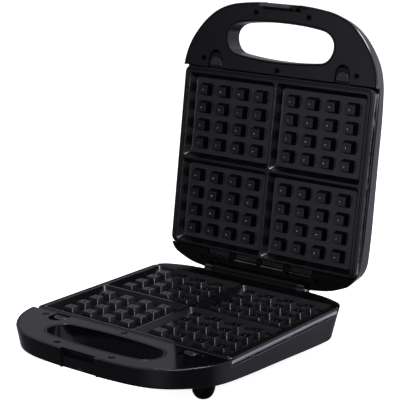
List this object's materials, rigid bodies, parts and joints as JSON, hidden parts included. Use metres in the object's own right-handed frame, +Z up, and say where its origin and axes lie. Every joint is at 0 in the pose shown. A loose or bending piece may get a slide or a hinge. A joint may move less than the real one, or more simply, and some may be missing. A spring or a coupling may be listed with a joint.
{
  "type": "four-portion waffle iron",
  "caption": "Clamshell waffle iron standing open, with removable non-stick plates, release buttons, front latch, finger slot and hollow handles.",
  "frame": {"origin": "middle of the footprint of the open appliance, on the surface it stands on", "axes": "+Z up, +Y from the handle to the hinge, +X to the right as seen from the handle"},
  "size_m": [0.2624, 0.3784, 0.362],
  "materials": {
    "housing_plastic": "semi-gloss moulded phenolic",
    "cover_plastic": "polished moulded plastic",
    "rear_cover_plastic": "semi-gloss moulded plastic",
    "barrel_plastic": "semi-gloss moulded plastic",
    "plate_coating": "dark grey satin non-stick coating, bare side strip",
    "button_plastic": "satin moulded plastic",
    "spring_steel": "spring wire",
    "pan_steel": "bright pressed sheet",
    "element_sheath": "heat-tinted tube",
    "saddle_metal": "cast metal",
    "thermostat_ceramic": "unglazed ceramic",
    "fuse_metal": "plated sleeve",
    "lead_insulation": "woven heat-proof sleeve",
    "screw_steel": "dark plated steel",
    "pin_steel": "ground steel",
    "terminal_plastic": "pale heat-proof plastic",
    "catch_plastic": "semi-gloss moulded plastic",
    "gland_rubber": "moulded rubber",
    "foot_plastic": "moulded rubber",
    "foot_rubber": "moulded rubber",
    "latch_plastic": "semi-gloss moulded plastic",
    "power_lens_plastic": "clear tinted plastic",
    "ready_lens_plastic": "clear tinted plastic",
    "lamp_glass": "clear glass"
  },
  "bodies": {
    "base": {"lower_housing": "housing_plastic", "lower_handle_cover": "cover_plastic", "lower_rear_cover": "rear_cover_plastic", "lower_button_spring_left": "spring_steel", "lower_button_spring_right": "spring_steel", "lower_reflector_pan": "pan_steel", "lower_heating_element": "element_sheath", "lower_element_saddles": "saddle_metal", "lower_thermostat": "thermostat_ceramic", "lower_thermal_fuse": "fuse_metal", "lower_leads": "lead_insulation", "lower_cover_screws": "screw_steel", "lower_rear_cover_screws": "screw_steel", "lower_pan_screws": "screw_steel", "hinge_pins": "pin_steel", "terminal_block": "terminal_plastic", "latch_catch": "catch_plastic", "cord_gland": "gland_rubber", "front_feet": "foot_plastic", "rear_feet": "foot_rubber"},
    "lower_plate": {"lower_plate": "plate_coating"},
    "lower_button_left": {"lower_plate_button_left": "button_plastic"},
    "lower_button_right": {"lower_plate_button_right": "button_plastic"},
    "lid": {"upper_housing": "housing_plastic", "upper_handle_cover": "cover_plastic", "upper_rear_cover": "rear_cover_plastic", "upper_button_spring_left": "spring_steel", "upper_button_spring_right": "spring_steel", "upper_reflector_pan": "pan_steel", "upper_heating_element": "element_sheath", "upper_element_saddles": "saddle_metal", "upper_thermostat": "thermostat_ceramic", "upper_thermal_fuse": "fuse_metal", "upper_leads": "lead_insulation", "upper_cover_screws": "screw_steel", "upper_rear_cover_screws": "screw_steel", "upper_pan_screws": "screw_steel", "hinge_barrel": "barrel_plastic", "latch_pin": "pin_steel", "latch_spring": "spring_steel", "power_lens": "power_lens_plastic", "ready_lens": "ready_lens_plastic", "indicator_lamps": "lamp_glass", "lamp_holder": "terminal_plastic"},
    "upper_plate": {"upper_plate": "plate_coating"},
    "upper_button_left": {"upper_plate_button_left": "button_plastic"},
    "upper_button_right": {"upper_plate_button_right": "button_plastic"},
    "latch": {"latch": "latch_plastic"}
  },
  "joints": [
    {"name": "lid_hinge", "type": "hinge", "parent": "base", "child": "lid", "pos_m": [0, 0.13104, 0.0425], "axis": [1, 0, 0], "range_deg": [0, 96.26]},
    {"name": "lower_plate_lift", "type": "slide", "parent": "base", "child": "lower_plate", "axis": [0, 0, -1], "range_m": [-0.016, 0]},
    {"name": "upper_plate_lift", "type": "slide", "parent": "lid", "child": "upper_plate", "axis": [0, 0.994, -0.109], "range_m": [-0.03, 0]},
    {"name": "lower_button_left_press", "type": "slide", "parent": "base", "child": "lower_button_left", "axis": [0, 1, 0], "range_m": [-0.0045, 0], "stiffness_N_per_m": 800, "deforming": ["lower_button_spring_left"]},
    {"name": "lower_button_right_press", "type": "slide", "parent": "base", "child": "lower_button_right", "axis": [0, 1, 0], "range_m": [-0.0045, 0], "stiffness_N_per_m": 800, "deforming": ["lower_button_spring_right"]},
    {"name": "upper_button_left_press", "type": "slide", "parent": "lid", "child": "upper_button_left", "axis": [0, -0.109, -0.994], "range_m": [-0.0045, 0], "stiffness_N_per_m": 800, "deforming": ["upper_button_spring_left"]},
    {"name": "upper_button_right_press", "type": "slide", "parent": "lid", "child": "upper_button_right", "axis": [0, -0.109, -0.994], "range_m": [-0.0045, 0], "stiffness_N_per_m": 800, "deforming": ["upper_button_spring_right"]},
    {"name": "latch_pivot", "type": "hinge", "parent": "lid", "child": "latch", "pos_m": [0, 0.18288, 0.3527], "axis": [1, 0, 0], "range_deg": [-15, 0], "stiffness_Nm_per_rad": 0.05, "deforming": ["latch_spring"]}
  ]
}
